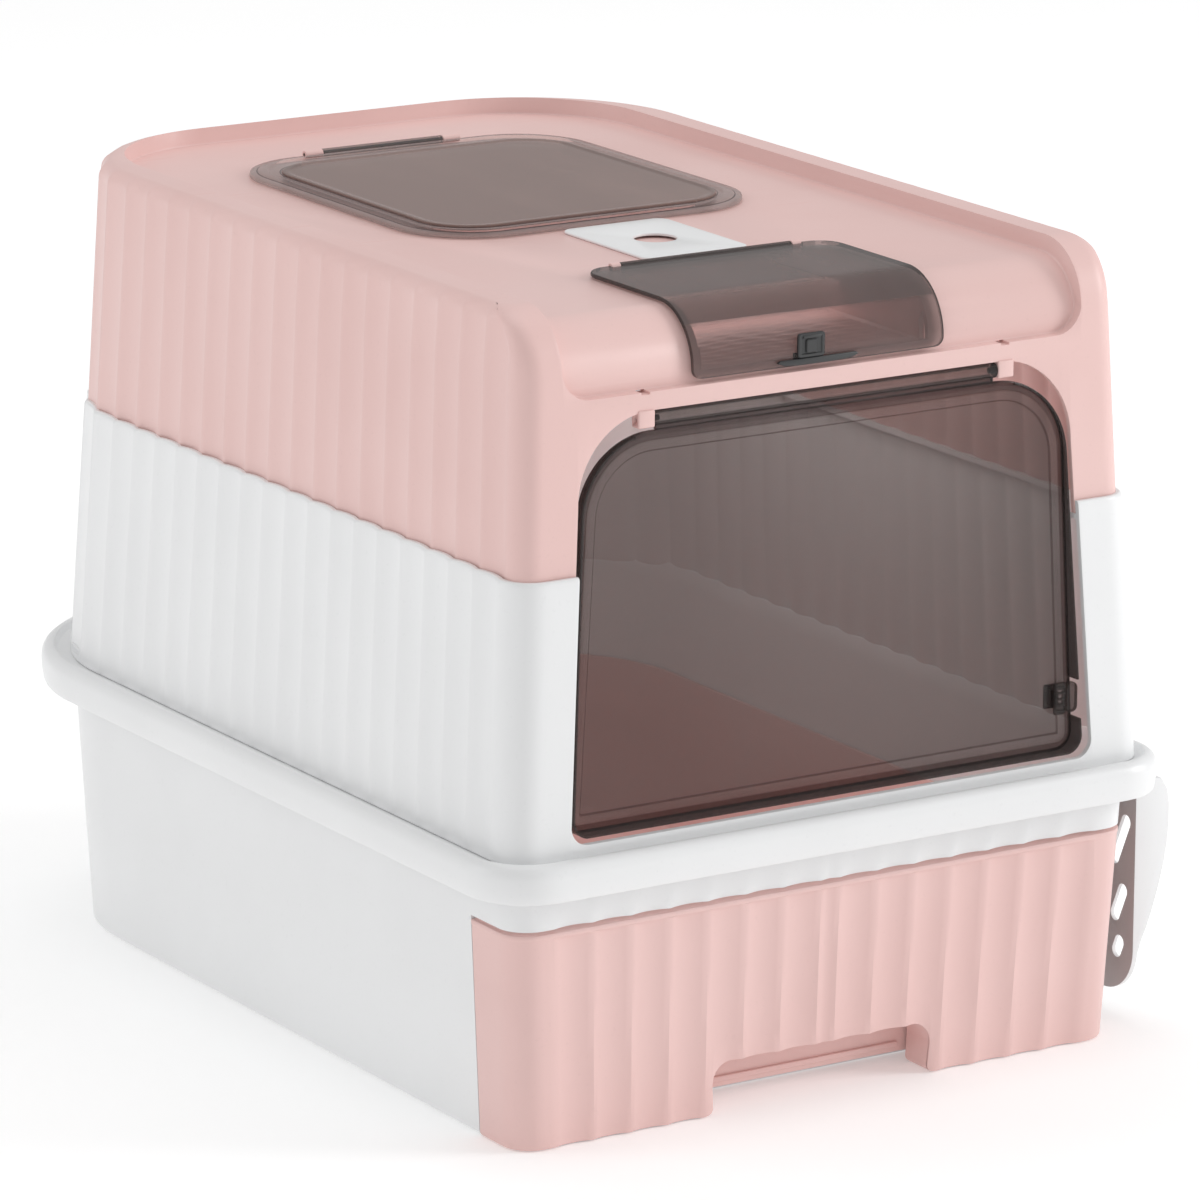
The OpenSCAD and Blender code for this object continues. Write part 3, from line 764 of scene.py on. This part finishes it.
plate_steps = ((-258.4, 0.4), (-258.4, 0), (-259.6, 0), (-260.1, 0.5), (-260.1, 1.7), (-259.5, 2.2),
               (-259.5, 3))
place(plate_y("catch_plate", 8, 391, 403.5, 1.6, plate_steps), "latch", "dark_plastic", "storage_latch")
button = plate_y("catch_button", 3.4, 393.4, 400.4, 0.9, ((-259.4, 0), (-260.2, 0), (-260.6, 0.5)))
place(button, "latch", "dark_plastic")
for name, low, high, soft in (("catch_top", (-5.4, -260.6, 401), (5.4, -259.4, 402.6), 0.4),
                              ("catch_neck", (-5.9, -258.6, 391.2), (5.9, -255.0, 393), 0.2),
                              ("catch_back", (-8, -255.3, 386.7), (8, -254.6, 393), 0.2)):
    place(shift(block(name, low, high, DARK, soft), CATCH_X), "latch", "dark_plastic")
strip = [(-24.5, 389.6), (-20, 388), (-10, 387.5), (10, 387.5), (20, 388), (24.5, 389.6), (23, 390.8),
         (-23, 390.8)]
pull = soften(prism("pull_strip", strip, "y", -260.1, -258.4, DARK), 0.5, 2, 40)
place(shift(pull, CATCH_X + 4), "latch", "dark_plastic", "latch_pull")

# %% [markdown]
# ## Top lid
# The lid is a smoky frame with stepped edges and a flat pane set in it. Both are drawn as rounded
# rectangles that shrink as they rise, so every step and groove runs evenly round the corners.
# %% Top lid
def lid_loop(z, g):
    back = 181 - g * (1 if g < 13 else 1.5)
    return level(rounded_box(104 - g, -53 + g, back, max(45.0 - g, 2), 16), z)


frame_steps = [(422.4, 16.8), (420.9, 16.6), (420.8, 16.2), (420.8, 1.0), (421.0, 0.3), (421.6, 0),
               (422.6, 0), (423.3, 0.3), (423.6, 1.0), (423.6, 3.6), (423.8, 4.3), (424.3, 4.8),
               (424.6, 5.6), (424.6, 9.6), (424.3, 10.2), (423.9, 10.6), (423.7, 11.2), (423.7, 12.3),
               (424.1, 13.0), (424.2, 13.6), (424.0, 14.0), (422.4, 14.1)]
lid_frame = loft("lid_frame", [lid_loop(z, g) for z, g in frame_steps], RIM, closed=True, smooth=25)
lid_frame.data.materials.append(EDGE)
count = len(lid_loop(0, 0))
for p in lid_frame.data.polygons:
    if p.index // count in (9, 18):
        p.material_index = 1
place(lid_frame, "lid", "smoky_clear", "top_lid")
pane_steps = [(422.6, 15.0), (422.6, 14.4), (423.0, 14.3), (424.6, 14.3), (424.95, 14.6), (425.1, 15.2),
              (425.1, 17), (424.9, 17.5), (424.9, 20)]
pane = loft("lid_pane", [lid_loop(z, g) for z, g in pane_steps], PANE, smooth=25)
place(pane, "lid", "smoky_clear", "lid_window")
place(rod("lid_barrel", -38, 38, *LID_HINGE, 2.25, RIM), "lid", "smoky_clear")
web = block("lid_barrel_web", (-37.5, 180.9, 421.9), (37.5, 183.2, 423.9), RIM, 0)
place(web, "lid", "smoky_clear")
place(rod("lid_hinge_rod", -49.5, 49.5, *LID_HINGE, 1.2, DARK), "hood", "dark_plastic", "lid_rod")

# %% [markdown]
# ## Deodoriser pocket
# A white plate with a finger hole covers a shallow pink pocket in the hood's top.
# %% Deodoriser pocket
def plate_z(name, h, y0, y1, r, steps, material, closed=False):
    """A rounded plate lying flat; steps are (z, drawn in by)."""
    return loft(name, [level(rounded_box(h - g, y0 + g, y1 - g, max(r - g, 0.2), 8), z) for z, g in steps],
                material, closed=closed)


plate = plate_z("filter_plate", 32, -140.5, -54.5, 7,
                ((420.6, 0.3), (420.7, 0), (421.5, 0), (421.9, 0.3), (422.0, 0.8)), WHITE)
HOLE_Y, HOLE_R = -97.5, 11.5
circle = [(HOLE_R * math.cos(t), HOLE_Y + HOLE_R * math.sin(t))
          for t in np.linspace(0, 2 * math.pi, 48, endpoint=False)]
cut(plate, loft("hole", [level(circle, z) for z in (400, 440)], WHITE))
soften(plate, 0.35, 2, 50)
place(plate, "filter_plate", "white_plastic", "filter_cover")
skirt = plate_z("filter_skirt", 27.6, -135.6, -58.4, 4,
                ((420.65, 0), (415.5, 0), (415.5, 1.6), (420.65, 1.6)), WHITE, True)
place(skirt, "filter_plate", "white_plastic")
cup = plate_z("filter_pocket", 31, -139, -55, 3,
              ((411, 1), (411, 0), (417.4, 0), (417.4, 2), (413.4, 2), (413, 2.6)), PINK)
place(cup, "hood", "pink_plastic", "filter_cup")
bed = block("filter_bed", (-24, -128, 413.1), (24, -66, 419.4), PINK, 1.0)
place(bed, "hood", "pink_plastic")

# %% [markdown]
# ## Scoop
# The scoop hangs flat against the tub with its bowl opening outwards. The bowl is a dished plate with
# walls that fade out toward the tip, cut through with slanting slots for the litter.
# %% Scoop bowl
SCOOP_X, SCOOP_Y = 210.0, -194.0
SLOT_HALF, SLOT_PITCH, SLOT_TURN = 4.0, 15.0, math.radians(24)


def along(outline):
    return [(SCOOP_Y + a, b) for a, b in outline]


bowl = prism("scoop_bowl", along(rounded_box(51, 12, 160, 26, 12)), "x", SCOOP_X, SCOOP_X + 22)
cut(bowl, prism("dish", along(rounded_box(48.5, 14.5, 160, 23.5, 12)), "x", SCOOP_X + 2.5, SCOOP_X + 40))
side_view = [(209, 10), (213, 10), (213.2, 36), (215.4, 43), (218, 48.5), (222, 59), (226, 72), (229, 84),
             (231, 96), (232, 108), (231.8, 117), (230.4, 125), (227, 131), (226, 132), (209, 132)]
cut(bowl, prism("side_view", side_view, "y", -300, -100), "INTERSECT")
bm = bmesh.new()
cos_turn, sin_turn = math.cos(SLOT_TURN), math.sin(SLOT_TURN)
for middle, length in ((97, 31), (62, 23), (37.5, 13)):
    for i in (-2.5, -1.5, -0.5, 0.5, 1.5, 2.5):
        ends = ([], [])
        for u, v in rounded_box(SLOT_HALF, -length / 2, length / 2, SLOT_HALF - 0.05, 8):
            y = SCOOP_Y + i * SLOT_PITCH + u * cos_turn - v * sin_turn
            z = middle + u * sin_turn + v * cos_turn
            for end, x in zip(ends, (205, 216)):
                end.append(bm.verts.new(Vector((x, y, z)) * MM))
        low, high = ends
        for j in range(len(low)):
            k = (j + 1) % len(low)
            bm.faces.new((low[j], low[k], high[k], high[j]))
        bm.faces.new(low)
        bm.faces.new(high)
cut(bowl, as_object("slots", bm, WHITE, 0))
soften(bowl, 0.7, 3, 45)
# The bowl's back face, turned to the tub, gets the grey copy: painted shade, since the white scoop lies in
# the tub's shadow there.
bowl.data.materials.append(PAINTED_SHADE)
for p in bowl.data.polygons:
    if p.normal.x < -0.5 and p.center.x < (SCOOP_X + 1) * MM:
        p.material_index = 1
place(bowl, "scoop", "white_plastic", "scoop")
shoulder = block("scoop_shoulder", (211, SCOOP_Y - 49, 129.6), (226.8, SCOOP_Y + 49, 132), WHITE, 0.8)
place(shoulder, "scoop", "white_plastic")

# %% [markdown]
# The handle is a channel with a hanging hole at its end. A small hook on its back goes over the tub's
# rim.
# %% Scoop handle
handle = prism("scoop_handle", along(rounded_box(13, 129, 252, 9, 10)), "x", SCOOP_X, SCOOP_X + 12)
cut(handle, prism("channel", along(rounded_box(10.5, 133, 247, 7, 10)), "x", SCOOP_X + 2.5, SCOOP_X + 30))
cut(handle, prism("hang_hole", along(arc(0, 238, 3.5, 0, 345, 23)), "x", 200, 230))
soften(handle, 0.9, 3, 45)
place(handle, "scoop", "white_plastic")
hook_side = [(197.9, 156), (200, 156), (200, 158.4), (210.5, 158.4), (210.5, 161.0), (198.9, 161.0),
             (197.9, 160)]
hook = prism("scoop_hook", hook_side, "y", SCOOP_Y - 9, SCOOP_Y + 9)
soften(hook, 0.5, 2, 45)
place(hook, "scoop", "white_plastic")

# %% [markdown]
# ## Floor, light and camera
# The floor is a pale seamless paper. It glows a little more toward the distance, so that it fades
# into the bright surrounding as in a product studio.
# %% Floor
def paper():
    f = Finish("paper_floor")
    wide = f.node("ShaderNodeVectorMath", {"operation": "MULTIPLY"}, {0: f.place, 1: (0.45, 0.45, 0.45)})
    near = f.node("ShaderNodeTexGradient", {"gradient_type": "SPHERICAL"}, {"Vector": wide})
    bump = f.node("ShaderNodeBump", None, {"Strength": 0.1, "Distance": 0.0002, "Height": f.noise(300.0)})
    f.feed(f.bsdf, {"Base Color": f.mix(f.noise(3.0), (0.93, 0.93, 0.93, 1), (0.90, 0.90, 0.90, 1)),
                    "Roughness": 0.8, "Normal": bump, "Emission Strength": 0.40,
                    "Emission Color": f.mix(near, (1, 1, 1, 1), (0.56, 0.56, 0.56, 1))})
    return f.material


bm = bmesh.new()
bmesh.ops.create_grid(bm, x_segments=4, y_segments=4, size=30)
floor = as_object("floor", bm, paper(), 0)
floor.location.z = -0.0006
print("floor", floor.name, "just under the tub")

# %% [markdown]
# A big soft key from the front right, a fill from the left and one from above. A faint lamp inside
# the hood stands for the daylight that the smoky door lets in, and the camera doesn't see it.
# %% Light
world = bpy.data.worlds.new("studio")
bpy.context.scene.world = world
world.use_nodes = True
sky = world.node_tree.nodes["Background"]
sky.inputs[0].default_value = (1.0, 1.0, 1.0, 1)
sky.inputs[1].default_value = 0.53


def softbox(name, spot, aim, size, watts):
    light = bpy.data.lights.new(name, "AREA")
    light.shape, light.size, light.size_y, light.energy = "RECTANGLE", size[0], size[1], watts
    o = bpy.data.objects.new(name, light)
    bpy.context.scene.collection.objects.link(o)
    o.location = spot
    o.rotation_euler = (Vector(aim) - Vector(spot)).to_track_quat("-Z", "Y").to_euler()
    print("light", name, watts, "W")
    return o


MIDDLE = (0, 0, 0.2)
softbox("key", (3.0, -2.0, 1.5), MIDDLE, (1.4, 1.8), 55)
softbox("side", (-2.8, 1.4, 1.5), MIDDLE, (1.4, 1.8), 14)
softbox("top", (0.0, 0.2, 2.8), MIDDLE, (2.2, 2.2), 18)
cabin = softbox("cabin", (0.0, -0.02, 0.405), (0.0, -0.02, 0.1), (0.26, 0.30), 0.55)
cabin.visible_camera = False

# %% [markdown]
# The camera stands well back with a long lens, to the left of the front and a little above. Its
# three directions are written out, because it is rolled by a fraction of a degree.
# %% Camera
bpy.context.scene.view_settings.view_transform = "Standard"
eye = Vector((-1.9562, -3.1596, 1.1815))
right = Vector((0.84735, -0.53102, 0.00373)).normalized()
up = Vector((0.13188, 0.21724, 0.96717)).normalized()
back = right.cross(up)
cam = bpy.data.objects.new("camera", bpy.data.cameras.new("camera"))
bpy.context.scene.collection.objects.link(cam)
cam.data.lens, cam.data.sensor_width = 213.68, 36
cam.data.clip_start, cam.data.clip_end = 0.1, 100
cam.matrix_world = Matrix.Translation(eye) @ Matrix((right, up, back)).transposed().to_4x4()
bpy.context.scene.camera = cam
print("camera", round(eye.length, 2), "m away, lens", cam.data.lens, "mm")
